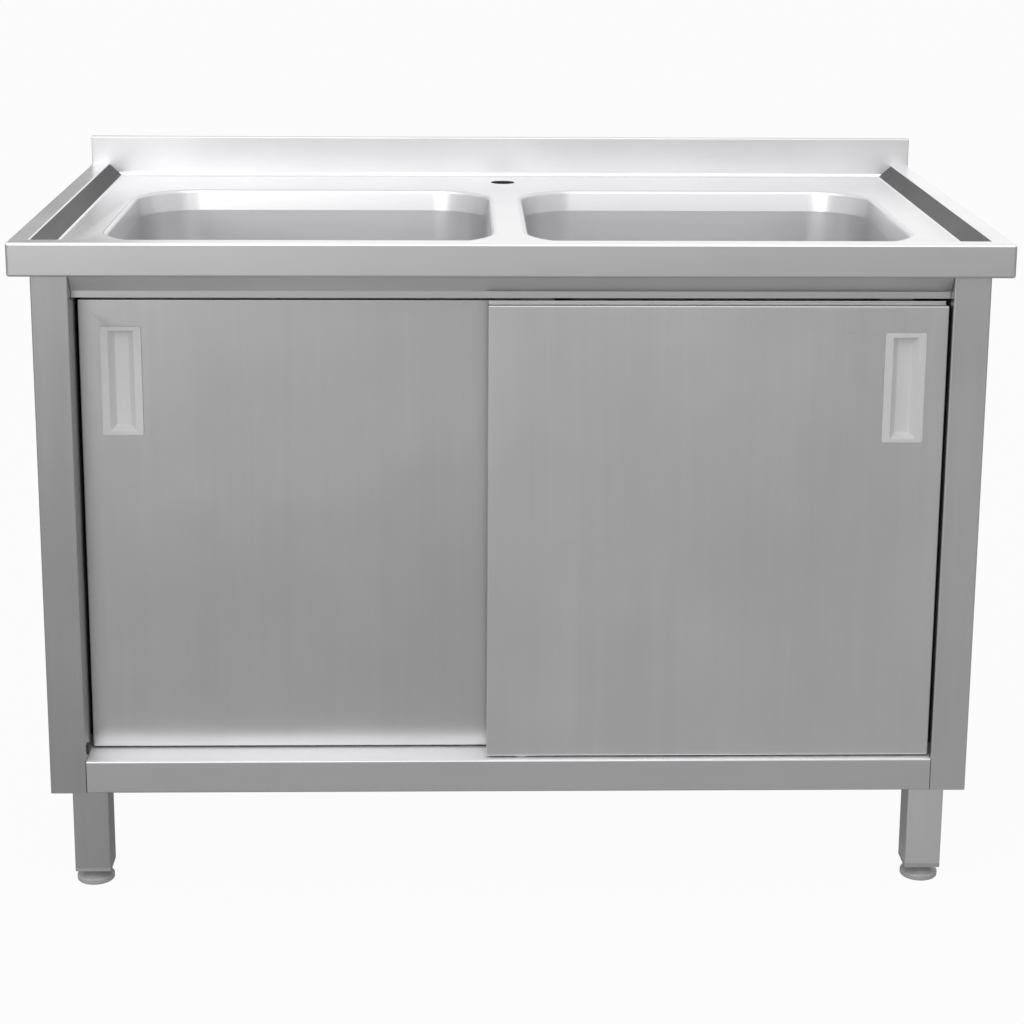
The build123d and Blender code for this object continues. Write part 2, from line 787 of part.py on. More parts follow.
doors = [
    ("left", left_door_x, left_door_face, left_door_x - pull_reach),
    ("right", right_door_x, right_door_face, right_door_x + pull_reach),
]
for name, door_x, door_face, pull_place in doors:
    save(make_door_pan(door_x, door_face, pull_place), f"{name}_door_pan")
    save(make_door_liner(door_x, door_face), f"{name}_door_liner")
    save(make_pull(pull_place, door_face), f"{name}_pull")
    save(make_hangers(door_x, door_face), f"{name}_hangers")
    save(make_hanger_bolts(door_x, door_face), f"{name}_hanger_bolts")
    save(make_roller_pins(door_x, door_face), f"{name}_roller_pins")
    outer_first = sorted(hanger_places(door_x))
    save(make_roller(outer_first[0], door_face), f"{name}_door_left_roller")
    save(make_roller(outer_first[1], door_face), f"{name}_door_right_roller")
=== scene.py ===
import bpy
import bmesh
from math import atan2, cos, pi, radians, sin, tan
from mathutils import Matrix, Vector
from mathutils.geometry import tessellate_polygon


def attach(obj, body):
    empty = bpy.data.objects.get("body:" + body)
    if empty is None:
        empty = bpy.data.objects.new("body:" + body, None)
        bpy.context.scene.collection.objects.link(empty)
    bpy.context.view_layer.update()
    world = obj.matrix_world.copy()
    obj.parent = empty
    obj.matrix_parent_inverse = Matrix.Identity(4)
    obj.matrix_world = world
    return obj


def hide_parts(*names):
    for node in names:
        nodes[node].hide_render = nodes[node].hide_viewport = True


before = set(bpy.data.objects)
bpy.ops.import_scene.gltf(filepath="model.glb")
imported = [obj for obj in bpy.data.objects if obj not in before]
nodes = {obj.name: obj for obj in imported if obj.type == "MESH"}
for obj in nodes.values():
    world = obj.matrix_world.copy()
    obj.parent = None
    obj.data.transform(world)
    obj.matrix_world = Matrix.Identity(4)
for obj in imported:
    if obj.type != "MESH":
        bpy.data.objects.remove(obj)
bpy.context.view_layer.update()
scene = bpy.context.scene
mm = 0.001  # the drafts below are in millimetres
print("frame loaded")


# shader helpers
class Wire:
    # one output socket: sums and products on it add Math nodes
    def __init__(self, tree, socket):
        self.tree = tree
        self.socket = socket

    def math(self, operation, *values):
        node = self.tree.nodes.new("ShaderNodeMath")
        node.operation = operation
        for plug, value in zip(node.inputs, values):
            feed(self.tree, plug, value)
        return Wire(self.tree, node.outputs[0])

    def __add__(self, other):
        return self.math("ADD", self, other)

    def __radd__(self, other):
        return self.math("ADD", other, self)

    def __sub__(self, other):
        return self.math("SUBTRACT", self, other)

    def __rsub__(self, other):
        return self.math("SUBTRACT", other, self)

    def __mul__(self, other):
        return self.math("MULTIPLY", self, other)

    def __rmul__(self, other):
        return self.math("MULTIPLY", other, self)


def feed(tree, plug, value):
    if isinstance(value, Wire):
        tree.links.new(value.socket, plug)
    elif plug.type == "RGBA" and isinstance(value, (int, float)):
        plug.default_value = (value, value, value, 1)
    else:
        plug.default_value = value


class Finish:
    # a material around one Principled shader; fixed holds the values that are the same all over
    def __init__(self, name, fixed):
        self.material = bpy.data.materials.new(name)
        self.material.use_nodes = True
        self.tree = self.material.node_tree
        self.shader = self.tree.nodes["Principled BSDF"]
        for socket, value in fixed.items():
            feed(self.tree, self.shader.inputs[socket], value)

    def node(self, kind, settings, inputs, output=0):
        node = self.tree.nodes.new(kind)
        for key, value in settings.items():
            if key == "stops":
                ramp = node.color_ramp
                ramp.elements[0].position, shade = value[0]
                ramp.elements[0].color = (shade, shade, shade, 1)
                ramp.elements[1].position, shade = value[-1]
                ramp.elements[1].color = (shade, shade, shade, 1)
                for place, shade in value[1:-1]:
                    ramp.elements.new(place).color = (shade, shade, shade, 1)
            else:
                setattr(node, key, value)
        for key, value in inputs.items():
            feed(self.tree, node.inputs[key], value)
        return Wire(self.tree, node.outputs[output])

    def give(self, socket, value):
        feed(self.tree, self.shader.inputs[socket], value)

    def place(self, scale):
        where = self.node("ShaderNodeTexCoord", {}, {}, "Object")
        return self.node("ShaderNodeVectorMath", {"operation": "MULTIPLY"}, {0: where, 1: scale})

    def noise(self, scale, detail, roughness):
        return self.node(
            "ShaderNodeTexNoise",
            {"noise_dimensions": "3D"},
            {"Vector": self.place(scale), "Scale": 1.0, "Detail": detail, "Roughness": roughness},
        )


def brushedSteel(name, look):
    finish = Finish(name, {"Metallic": 1.0, "Specular Tint": look["edge"]})
    grain = finish.noise(look["grain"], 4.0, 0.65)
    streak = finish.noise(look["streak"], 3.0, 0.55)
    cloud = finish.noise(look["cloud"], 4.0, 0.55)
    smudge = finish.node(
        "ShaderNodeValToRGB",
        {"stops": [(0.42, 0.0), (0.56, 0.35), (0.72, 1.0)]},
        {"Fac": finish.noise(look["smudge"], 5.0, 0.6)},
    )
    tone = look["tone"] + look["toneSpread"] * (grain - 0.5) + look["streakSpread"] * (streak - 0.5)
    tone = tone + look["cloudSpread"] * (cloud - 0.5) - look["smudgeTone"] * smudge
    blue = tone * look["cool"]
    colour = finish.node("ShaderNodeCombineColor", {}, {"Red": tone, "Green": tone, "Blue": blue})
    finish.give("Base Color", colour)
    streakRough = look["streakShare"] * look["roughSpread"]
    rough = look["rough"] + look["roughSpread"] * (grain - 0.5) + streakRough * (streak - 0.5)
    finish.give("Roughness", rough + look["smudgeRough"] * smudge)
    wave = finish.node(
        "ShaderNodeBump",
        {},
        {"Strength": 1.0, "Distance": look["waveDepth"], "Height": finish.noise(look["wave"], 1.0, 0.4)},
    )
    height = grain + look["streakHeight"] * streak
    lines = finish.node(
        "ShaderNodeBump",
        {},
        {"Strength": 1.0, "Distance": look["grainDepth"], "Height": height, "Normal": wave},
    )
    finish.give("Normal", lines)
    return finish.material


def mouldedPlastic(name, look):
    finish = Finish(name, {"Metallic": 0.0, "IOR": look["ior"]})
    speck = finish.noise(look["speck"], 2.0, 0.5)
    cloud = finish.noise(look["cloud"], 3.0, 0.5)
    scuff = finish.node(
        "ShaderNodeValToRGB",
        {"stops": [(0.55, 0.0), (0.7, 1.0)]},
        {"Fac": finish.noise(look["scratch"], 5.0, 0.65)},
    )
    tone = look["tone"] + look["speckSpread"] * (speck - 0.5)
    tone = tone + look["cloudSpread"] * (cloud - 0.5) - look["scuff"] * scuff
    colour = finish.node("ShaderNodeCombineColor", {}, {"Red": tone, "Green": tone, "Blue": tone})
    finish.give("Base Color", colour)
    finish.give("Roughness", look["rough"] + look["cloudRough"] * (cloud - 0.5) + look["scuffRough"] * scuff)
    bump = finish.node(
        "ShaderNodeBump",
        {},
        {"Strength": 1.0, "Distance": look["speckDepth"], "Height": speck},
    )
    finish.give("Normal", bump)
    return finish.material


steelLook = {  # what the steels share, where a steel doesn't say otherwise; depths are in metres
    "toneSpread": 0.04,
    "streakSpread": 0.03,
    "cloudSpread": 0.05,
    "smudgeTone": 0.02,
    "cool": 1.012,
    "roughSpread": 0.10,
    "streakShare": 0.35,
    "smudgeRough": 0.06,
    "cloud": (3.1, 2.7, 3.4),
    "smudge": (7.3, 9.1, 6.7),
    "wave": (2.6, 2.1, 3.0),
    "edge": 1.0,
    "waveDepth": 0.0008,
    "streakHeight": 0.6,
    "grainDepth": 0.000006,
}

alongX = {"grain": (5, 700, 700), "streak": (1.2, 90, 90)}
alongY = {"grain": (700, 5, 700), "streak": (90, 1.2, 90)}
alongZ = {"grain": (700, 700, 5), "streak": (90, 90, 1.2)}
bowlGrain = {
    "grain": (5, 300, 300),
    "streak": (1.2, 60, 60),
    "toneSpread": 0.02,
    "roughSpread": 0.03,
    "cloudSpread": 0.02,
    "smudgeTone": 0.005,
    "smudgeRough": 0.01,
    "waveDepth": 0.0003,
    "grainDepth": 0.000001,
}
steelLooks = {
    "topSteel": {**alongX, "tone": 0.82, "rough": 0.34},
    # painted shade: the apron, the worktop's front and end faces, takes a darker copy of the top steel
    "apronShadeSteel": {**alongX, "tone": 0.56, "rough": 0.34},
    # painted shade: the slopes of the worktop rim take a much darker copy of the top steel, with a dimmed
    # edge tint
    "slopeShadeSteel": {**alongY, "tone": 0.34, "rough": 0.20, "edge": 0.3, "cloudSpread": 0.16},
    # painted shade: the upstand takes a darker copy of the worktop steel, while the bend at its foot keeps
    # the top steel
    "upstandShadeSteel": {**alongX, "tone": 0.68, "rough": 0.40, "cloudSpread": 0.14},
    "bowlSteel": {**bowlGrain, "tone": 0.77, "rough": 0.34},
    # painted reflection band: the top band of each bowl wall, the collar, takes a separate steel tone
    "collarReflectionSteel": {**bowlGrain, "tone": 0.72, "rough": 0.32},
    # painted shade: the left door, recessed behind the right one, takes a darker copy of the door steel
    "leftDoorSteel": {**alongZ, "tone": 0.53, "rough": 0.30, "cloudSpread": 0.16},
    "rightDoorSteel": {**alongZ, "tone": 0.595, "rough": 0.30, "cloudSpread": 0.16},
    "postSteel": {**alongZ, "tone": 0.54, "rough": 0.30, "cloudSpread": 0.16},
    "railSteel": {**alongX, "tone": 0.57, "rough": 0.30},
    # painted shade: the left side panel takes a darker copy of the post steel
    "leftPostShadeSteel": {**alongZ, "tone": 0.42, "rough": 0.30, "cloudSpread": 0.16},
    # painted shade: the left legs take a darker copy of the leg steel
    "leftLegShadeSteel": {**alongZ, "tone": 0.46, "rough": 0.30, "cloudSpread": 0.18},
    "legSteel": {**alongZ, "tone": 0.65, "rough": 0.30, "cloudSpread": 0.18},
    # painted light: the upward faces of the floor tray take a much paler copy of the rail steel
    "trayTopLitSteel": {**alongX, "tone": 0.96, "rough": 0.62},
    # painted highlight: the door liners take a near-white steel so their top fold shows as a bright line
    "linerHighlightSteel": {**alongX, "tone": 0.95, "rough": 0.55},
    # painted shade: the hanger plates take a near-black steel so they vanish in the shadow under the track
    "hangerShadowSteel": {**alongX, "tone": 0.16, "rough": 0.45, "edge": 0.3},
    "trackSteel": {**alongX, "tone": 0.50, "rough": 0.34},
    "boltSteel": {**alongZ, "tone": 0.60, "rough": 0.22},
}
steels = {name: brushedSteel(name, {**steelLook, **look}) for name, look in steelLooks.items()}

plasticLook = {
    "ior": 1.49,
    "speck": (900, 900, 900),
    "cloud": (14, 11, 17),
    "scratch": (60, 75, 25),
    "speckSpread": 0.02,
    "cloudRough": 0.10,
    "scuffRough": 0.12,
    "speckDepth": 0.00002,
}
plasticLooks = {
    "pullPlastic": {"tone": 0.76, "cloudSpread": 0.03, "scuff": 0.02, "rough": 0.38},
    "footPlastic": {"tone": 0.50, "cloudSpread": 0.06, "scuff": 0.05, "rough": 0.34},
    "plugPlastic": {"tone": 0.42, "cloudSpread": 0.04, "scuff": 0.04, "rough": 0.42},
    "whitePlastic": {"tone": 0.72, "cloudSpread": 0.04, "scuff": 0.06, "rough": 0.40},
    "bufferRubber": {"tone": 0.05, "cloudSpread": 0.02, "scuff": 0.01, "rough": 0.62, "speckDepth": 0.00004},
}
plastics = {name: mouldedPlastic(name, {**plasticLook, **look}) for name, look in plasticLooks.items()}
print("finishes made")


# mesh helpers
def roundCorners(points, radii, steps=6):
    # a polyline in the plane with an arc at each inner point
    made = [points[0]]
    for before, corner, after, radius in zip(points, points[1:], points[2:], radii):
        a = Vector(before) - Vector(corner)
        b = Vector(after) - Vector(corner)
        half = a.angle(b) / 2
        if radius <= 0 or abs(half - pi / 2) < 1e-4:
            made.append(tuple(corner))
            continue
        reach = radius / tan(half)
        start = Vector(corner) + a.normalized() * reach
        end = Vector(corner) + b.normalized() * reach
        centre = Vector(corner) + (a.normalized() + b.normalized()).normalized() * (radius / sin(half))
        first = atan2(start.y - centre.y, start.x - centre.x)
        turn = atan2(end.y - centre.y, end.x - centre.x) - first
        turn = (turn + pi) % (2 * pi) - pi
        for step in range(steps + 1):
            angle = first + turn * step / steps
            made.append((centre.x + radius * cos(angle), centre.y + radius * sin(angle)))
    made.append(points[-1])
    return made


def roundedLoop(halfX, halfY, radius, steps=12):
    # rounded rectangle round the origin, anticlockwise
    radius = max(min(radius, halfX, halfY), 0.01)
    made = []
    for quarter, (signX, signY) in enumerate(((1, 1), (-1, 1), (-1, -1), (1, -1))):
        x, y = signX * (halfX - radius), signY * (halfY - radius)
        for step in range(steps + 1):
            angle = (quarter + step / steps) * pi / 2
            made.append((x + radius * cos(angle), y + radius * sin(angle)))
    return made


class Draft:
    # points in millimetres and faces, gathered strip by strip
    def __init__(self):
        self.points = []
        self.faces = []
        self.paints = []

    def ring(self, points):
        start = len(self.points)
        self.points += [tuple(p) for p in points]
        return list(range(start, start + len(points)))

    def bridge(self, first, second, closed=True):
        count = len(first)
        for index in range(count if closed else count - 1):
            after = (index + 1) % count
            self.faces.append((first[index], first[after], second[after], second[index]))

    def loft(self, loops, closed=True):
        rings = [self.ring(loop) for loop in loops]
        for first, second in zip(rings, rings[1:]):
            self.bridge(first, second, closed)
        return rings

    def cap(self, ring):
        self.faces.append(tuple(ring))

    def fill(self, *rings):
        # flat face inside the first ring, with the others as holes
        loops = [[Vector(self.points[i]) for i in ring] for ring in rings]
        order = [i for ring in rings for i in ring]
        for triangle in tessellate_polygon(loops):
            self.faces.append(tuple(order[i] for i in triangle))

    def bar(self, outline, start, end):
        # closed outline carried from start to end along x, with both ends capped
        rings = self.loft([[(x, y, z) for y, z in outline] for x in (start, end)])
        self.cap(rings[0])
        self.cap(rings[-1])

    def paint(self, first, last, index):
        # the faces from first up to last take another of the materials
        self.paints.append((first, last, index))

    def make(self, name, material, body, stands=(), facing=None, sheet=0, bevel=0, more=()):
        # stands names the CAD nodes that the piece stands in for; sheet and bevel are in millimetres
        mesh = bpy.data.meshes.new(name)
        mesh.from_pydata([[c * mm for c in p] for p in self.points], [], self.faces)
        for first, last, index in self.paints:
            for polygon in mesh.polygons[first:last]:
                polygon.material_index = index
        work = bmesh.new()
        work.from_mesh(mesh)
        bmesh.ops.remove_doubles(work, verts=work.verts, dist=2e-6)
        bmesh.ops.dissolve_degenerate(work, dist=1e-7, edges=work.edges)
        bmesh.ops.recalc_face_normals(work, faces=work.faces)
        if facing:
            total = sum((f.normal * f.calc_area() for f in work.faces), Vector())
            if total.dot(Vector(facing)) < 0:
                bmesh.ops.reverse_faces(work, faces=work.faces)
        work.to_mesh(mesh)
        work.free()
        for polygon in mesh.polygons:
            polygon.use_smooth = True
        mesh.set_sharp_from_angle(angle=radians(32))
        made = bpy.data.objects.new(name, mesh)
        scene.collection.objects.link(made)
        for finish in (material, *more):
            mesh.materials.append(finish)
        if sheet:
            solid = made.modifiers.new("sheet", "SOLIDIFY")
            solid.thickness = sheet * mm
            solid.offset = -1
        if bevel:
            soft = made.modifiers.new("edges", "BEVEL")
            soft.width = bevel * mm
            soft.segments = 2
            soft.limit_method = "ANGLE"
            soft.angle_limit = radians(50)
        flat = made.modifiers.new("flat faces", "WEIGHTED_NORMAL")
        flat.mode = "FACE_AREA"
        flat.keep_sharp = True
        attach(made, body)
        if stands:
            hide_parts(*stands)


# worktop
worktop = {
    "half": 600.0,
    "front": -350.0,
    "upstandFace": 340.0,
    "back": 350.0,
    "foot": 785.0,
    "rim": 826.0,
    "deck": 808.5,
    "upstandTop": 866.0,
    "lip": 12.0,
    "rimFlat": 24.0,
    "slopeRun": 20.0,
    "flatMargin": 10.0,
    "cornerRadius": 4.0,
    "edgeRadius": 3.0,
    "rimBend": 3.5,
    "deckBend": 5.0,
    "sheet": 1.2,
    "tapRadius": 17.5,
    "tapY": 280.0,
    "tapSides": 48,
}
upstand = {"bend": 2.2, "edge": 0.8, "footReach": 8.0, "footOverlap": 5.0, "footSheet": 0.8}
bowl = {
    "x": 264.5,
    "y": -18.5,
    "halfX": 242.5,
    "halfY": 217.5,
    "corner": 80.0,
    "flange": 5.2,
    "roll": 5.0,
    "collar": 28.0,
    "collarLean": 3.5,
    "collarBend": 1.5,
    "lean": 6.0,
    "floor": 559.7,
    "floorRadius": 40.0,
    "floorReach": 62.0,
    "seatRim": 50.0,
    "seat": 44.0,
    "seatDrop": 4.0,
    "seatMargin": 4.0,
    "seatBends": [2.0, 2.0, 0.5],
    "hole": 26.0,
    "holeLip": 1.2,
    "fan": (0.35, 0.7),
}


def rimLoop(offset, z):
    # open line along the left end, the front and the right end, at an offset in from the outside
    w = worktop
    corner = max(w["cornerRadius"] - offset, 0.3)
    left, right, low = -w["half"] + offset, w["half"] - offset, w["front"] + offset
    line = [(left, w["upstandFace"]), (left, low), (right, low), (right, w["upstandFace"])]
    return [(x, y, z) for x, y in roundCorners(line, [corner, corner], 5)]


def bowlLoop(centreX, inset, z):
    loop = roundedLoop(bowl["halfX"] - inset, bowl["halfY"] - inset, bowl["corner"] - inset)
    return [(centreX + x, bowl["y"] + y, z) for x, y in loop]


def makeWorktop():
    w = worktop
    inner = w["rimFlat"] + w["slopeRun"]
    profile = [
        (w["lip"], w["foot"]),
        (0, w["foot"]),
        (0, w["rim"]),
        (w["rimFlat"], w["rim"]),
        (inner, w["deck"]),
        (inner + w["flatMargin"], w["deck"]),
    ]
    radii = [w["edgeRadius"], w["edgeRadius"], w["rimBend"], w["deckBend"]]
    line = roundCorners(profile, radii, 6)
    draft = Draft()
    rings = draft.loft([rimLoop(offset, z) for offset, z in line], closed=False)
    across = len(rings[0]) - 1
    steps = list(enumerate(zip(line, line[1:])))
    slope = [i for i, (a, b) in steps if a[1] - b[1] > (w["rim"] - w["deck"]) / 4]
    # the slope faces take the painted-shade slope steel (material 1)
    draft.paint(slope[0] * across, (slope[-1] + 1) * across, 1)
    apron = [i for i, (a, b) in steps if b[0] == a[0] and b[1] > a[1]]
    # the lip, its bend and the apron face take the painted-shade apron steel (material 2)
    draft.paint(0, (apron[-1] + 1) * across, 2)
    holes = [draft.ring(bowlLoop(side * bowl["x"], -bowl["flange"], w["deck"])) for side in (-1, 1)]
    turns = [2 * pi * step / w["tapSides"] for step in range(w["tapSides"])]
    tap = [(w["tapRadius"] * cos(t), w["tapY"] + w["tapRadius"] * sin(t), w["deck"]) for t in turns]
    draft.fill(rings[-1], *holes, draft.ring(tap))
    draft.make(
        "worktopTop", steels["topSteel"], "cabinet", ["worktop"], (0, 0, 1),
        sheet=w["sheet"], more=[steels["slopeShadeSteel"], steels["apronShadeSteel"]],
    )


def makeUpstand():
    w = worktop
    u = upstand
    low, high = w["upstandFace"], w["back"]
    outline = [(low, w["foot"]), (low, w["upstandTop"]), (high, w["upstandTop"]), (high, w["foot"])]
    draft = Draft()
    draft.bar(roundCorners(outline, [u["bend"], u["bend"]], 5), -w["half"], w["half"])
    draft.make("upstand", steels["upstandShadeSteel"], "cabinet", bevel=u["edge"])
    corner = [(low - u["footReach"], w["deck"]), (low, w["deck"]), (low, w["deck"] + u["footReach"])]
    bend = roundCorners(corner, [w["deckBend"]], 6)
    reach = w["half"] - w["rimFlat"] - w["slopeRun"] + u["footOverlap"]
    draft = Draft()
    draft.loft([[(x, y, z) for y, z in bend[1:-1]] for x in (-reach, reach)], closed=False)
    draft.make(
        "upstandBend", steels["topSteel"], "cabinet", facing=(0, -1, 1), sheet=u["footSheet"]
    )


def makeBowl(name, centreX, node):
    b = bowl
    profile = [
        (-b["flange"], worktop["deck"]),
        (0, worktop["deck"]),
        (b["collarLean"], worktop["deck"] - b["collar"]),
        (b["lean"], b["floor"]),
        (b["floorReach"], b["floor"]),
    ]
    line = roundCorners(profile, [b["roll"], b["collarBend"], b["floorRadius"]], 10)
    draft = Draft()
    loops = [bowlLoop(centreX, inset, z) for inset, z in line]
    last = loops[-1]
    angles = [atan2(y - b["y"], x - centreX) for x, y, _ in last]
    rim = [(centreX + b["seatRim"] * cos(a), b["y"] + b["seatRim"] * sin(a)) for a in angles]
    for part in b["fan"]:  # the floor narrows from a rounded rectangle to the round seat
        loops.append([(x + (u - x) * part, y + (v - y) * part, z) for (x, y, z), (u, v) in zip(last, rim)])
    seat = [
        (b["seatRim"] + b["seatMargin"], b["floor"]),
        (b["seatRim"], b["floor"]),
        (b["seat"], b["floor"] - b["seatDrop"]),
        (b["hole"], b["floor"] - b["seatDrop"]),
        (b["hole"], b["floor"] - b["seatDrop"] - b["holeLip"]),
    ]
    for radius, z in roundCorners(seat, b["seatBends"], 3):
        loops.append([(centreX + radius * cos(a), b["y"] + radius * sin(a), z) for a in angles])
    draft.loft(loops)
    collarRings = [i for i, (inset, z) in enumerate(line) if z > worktop["deck"] - b["collar"]]
    # the collar band takes the painted-reflection steel (material 1)
    draft.paint(0, collarRings[-1] * len(last), 1)
    draft.make(
        name, steels["bowlSteel"], "cabinet", [node], (0, 0, 1),
        sheet=worktop["sheet"], more=[steels["collarReflectionSteel"]],
    )


makeWorktop()
makeUpstand()
for side, sign in (("left", -1), ("right", 1)):
    makeBowl(side + "Basin", sign * bowl["x"], side + "_bowl")
print("worktop and bowls made")


# doors and pulls
door = {
    "width": 557.0,
    "bottom": 170.0,
    "top": 747.0,
    "thickness": 20.0,
    "fold": 5.5,
    "sheet": 1.0,
    "edge": 1.6,
    "corner": 1.6,
    "faceStart": 8.0,
    "pullInset": 26.0,
    "pullDrop": 33.5,
    "pullHoleMargin": 2.0,
    "pullHoleCorner": 3.0,
}
pull = {
    "width": 50.0,
    "height": 136.0,
    "proud": 2.0,
    "sideFrame": 9.5,
    "endFrame": 5.0,
    "sideSlope": 7.0,
    "endSlope": 5.0,
    "depth": 10.0,
    "cornerRadius": 2.5,
    "innerRadius": 1.0,
    "outerBend": 0.8,
    "innerBend": 0.5,
    "floorBend": 2.5,
    "floorHalf": 2.0,
    "skirt": 0.2,
    "wall": 1.2,
}
doorPlaces = {
    "left": {"x": -248.5, "face": -290.0, "sign": -1},
    "right": {"x": 248.5, "face": -327.0, "sign": 1},
}


def doorPlane(loop, centreX, centreZ, y):
    return [(centreX + x, y, centreZ + z) for x, z in loop]


def makeDoor(side, place):
    d = door
    half, tall = d["width"] / 2, (d["top"] - d["bottom"]) / 2
    middle = (d["top"] + d["bottom"]) / 2
    face = place["face"]
    draft = Draft()
    line = roundCorners([(0, d["fold"]), (0, 0), (d["faceStart"], 0)], [d["edge"]], 5)
    loops = []
    for inset, depth in line:
        loop = roundedLoop(half - inset, tall - inset, max(d["corner"] - inset, 0.2), 4)
        loops.append(doorPlane(loop, place["x"], middle, face + depth))
    rings = draft.loft(loops)
    pullX = place["x"] + place["sign"] * (half - d["pullInset"] - pull["width"] / 2)
    pullZ = d["top"] - d["pullDrop"] - pull["height"] / 2
    holeX = pull["width"] / 2 - pull["sideFrame"] + d["pullHoleMargin"]
    holeZ = pull["height"] / 2 - pull["endFrame"] + d["pullHoleMargin"]
    hole = doorPlane(roundedLoop(holeX, holeZ, d["pullHoleCorner"], 5), pullX, pullZ, face)
    draft.fill(rings[-1], draft.ring(hole))
    low, high = d["bottom"] + d["corner"], d["top"] - d["corner"]
    for sign in (-1, 1):  # the side folds run the full thickness of the door
        x = place["x"] + sign * half
        fold = [[(x, face + depth, z) for z in (low, high)] for depth in (d["fold"], d["thickness"])]
        draft.loft(fold, closed=False)
    draft.make(
        side + "DoorFront", steels[side + "DoorSteel"], side + "_door", [side + "_door_pan"],
        (0, -1, 0), sheet=d["sheet"],
    )
    makePull(side, pullX, pullZ, face)


def makePull(side, centreX, centreZ, face):
    p = pull
    profile = [
        (0, -p["skirt"]),
        (0, -p["proud"]),
        (p["sideFrame"], -p["proud"]),
        (p["sideFrame"] + p["sideSlope"], p["depth"] - p["proud"]),
        (p["width"] / 2 - p["floorHalf"], p["depth"] - p["proud"]),
    ]
    line = roundCorners(profile, [p["outerBend"], p["innerBend"], p["floorBend"]], 6)
    loops = []
    for inset, depth in line:
        over = max(inset - p["sideFrame"], 0)
        share = min(inset / p["sideFrame"], 1)
        halfX = p["width"] / 2 - inset
        halfZ = p["height"] / 2 - share * p["endFrame"] - over * p["endSlope"] / p["sideSlope"]
        corner = p["cornerRadius"] + share * (p["innerRadius"] - p["cornerRadius"])
        loops.append(doorPlane(roundedLoop(halfX, halfZ, corner, 8), centreX, centreZ, face + depth))
    draft = Draft()
    rings = draft.loft(loops)
    draft.cap(rings[-1])
    draft.make(
        side + "Pull", plastics["pullPlastic"], side + "_door", [side + "_pull"],
        (0, -1, 0), sheet=p["wall"],
    )


for side, place in doorPlaces.items():
    makeDoor(side, place)
print("doors and pulls made")


# levelling feet
foot = {
    "radius": 23.5,
    "wall": 7.5,
    "shoulder": 11.0,
    "shoulderTop": 14.0,
    "neck": 9.0,
    "neckTop": 18.7,
    "spindle": 6.0,
    "spindleTop": 60.7,
    "axisGap": 0.01,
    "bends": [2.6, 2.6, 1.5, 0.6, 0.5, 0.3, 0.6],
    "sides": 64,
    "x": 526.2,
    "y": 310.2,
}


def makeFoot(place, x, y):
    f = foot
    profile = [
        (f["axisGap"], 0),
        (f["radius"], 0),
        (f["radius"], f["wall"]),
        (f["shoulder"], f["shoulderTop"]),
        (f["neck"], f["shoulderTop"]),
        (f["neck"], f["neckTop"]),
        (f["spindle"], f["neckTop"]),
        (f["spindle"], f["spindleTop"]),
        (f["axisGap"], f["spindleTop"]),
    ]
    turns = [2 * pi * step / f["sides"] for step in range(f["sides"])]
    line = roundCorners(profile, f["bends"], 5)
    draft = Draft()
    rings = draft.loft([[(x + r * cos(t), y + r * sin(t), z) for t in turns] for r, z in line])
    draft.cap(rings[0])
    draft.cap(rings[-1])
    body = place + "_foot"
    draft.make(place + "_levellingFoot", plastics["footPlastic"], body, [body])


for row, signY in (("front", -1), ("rear", 1)):
    for side, signX in (("left", -1), ("right", 1)):
        makeFoot(row + "_" + side, signX * foot["x"], signY * foot["y"])
print("feet made")


# finishes on the carried-over solids
tray = {"node": "floor_tray", "top": 167.0, "flat": 0.9}
creaseAngle = 28
nodeFinish = {  # the first entry whose key is in a node's name holds for it
    "left_side_panel": steels["leftPostShadeSteel"],
    "side_panel": steels["postSteel"],
    "back_panel": steels["postSteel"],
    "floor_tray": steels["railSteel"],
    "front_beam": steels["railSteel"],
    "rear_beam": steels["railSteel"],
    "door_track": steels["trackSteel"],
    "corner_plates": steels["trackSteel"],
    "hangers": steels["hangerShadowSteel"],
    "bolts": steels["boltSteel"],
    "pins": steels["boltSteel"],
    "screw": steels["boltSteel"],
    "liner": steels["linerHighlightSteel"],
    "left_door_pan": steels["leftDoorSteel"],
    "right_door_pan": steels["rightDoorSteel"],
    "worktop": steels["topSteel"],
    "bowl": steels["bowlSteel"],
    "plug": plastics["plugPlastic"],
    "_foot": plastics["footPlastic"],
    "left_leg": steels["leftLegShadeSteel"],
    "_leg": steels["legSteel"],
    "_pull": plastics["pullPlastic"],
    "guide": plastics["whitePlastic"],
    "roller": plastics["whitePlastic"],
    "buffers": plastics["bufferRubber"],
}
for name, solid in nodes.items():
    material = next(m for key, m in nodeFinish.items() if key in name)
    solid.data.materials.clear()
    solid.data.materials.append(material)
    for polygon in solid.data.polygons:
        polygon.use_smooth = True
    solid.data.set_sharp_from_angle(angle=radians(creaseAngle))
trayMesh = nodes[tray["node"]].data  # painted light: its upward faces above the rail take a much paler copy of the rail steel
trayMesh.materials.append(steels["trayTopLitSteel"])
for polygon in trayMesh.polygons:
    if polygon.normal.z > tray["flat"] and polygon.center.z > tray["top"] * mm:
        polygon.material_index = 1
print("solids finished")


# floor, light and camera
floor = {"half": 60000.0, "shade": 0.56, "rough": 0.8, "lift": 0.96, "mirrorLift": 0.14}
flag = {"left": -6500, "right": -1000, "y": 3600, "low": 100, "high": 2300, "shade": 0.1, "rough": 0.9}


def makeStudioSheet(name, corners, material):
    mesh = bpy.data.meshes.new(name)
    mesh.from_pydata([[c * mm for c in corner] for corner in corners], [], [(0, 1, 2, 3)])
    mesh.materials.append(material)
    made = bpy.data.objects.new(name, mesh)
    scene.collection.objects.link(made)
    return made


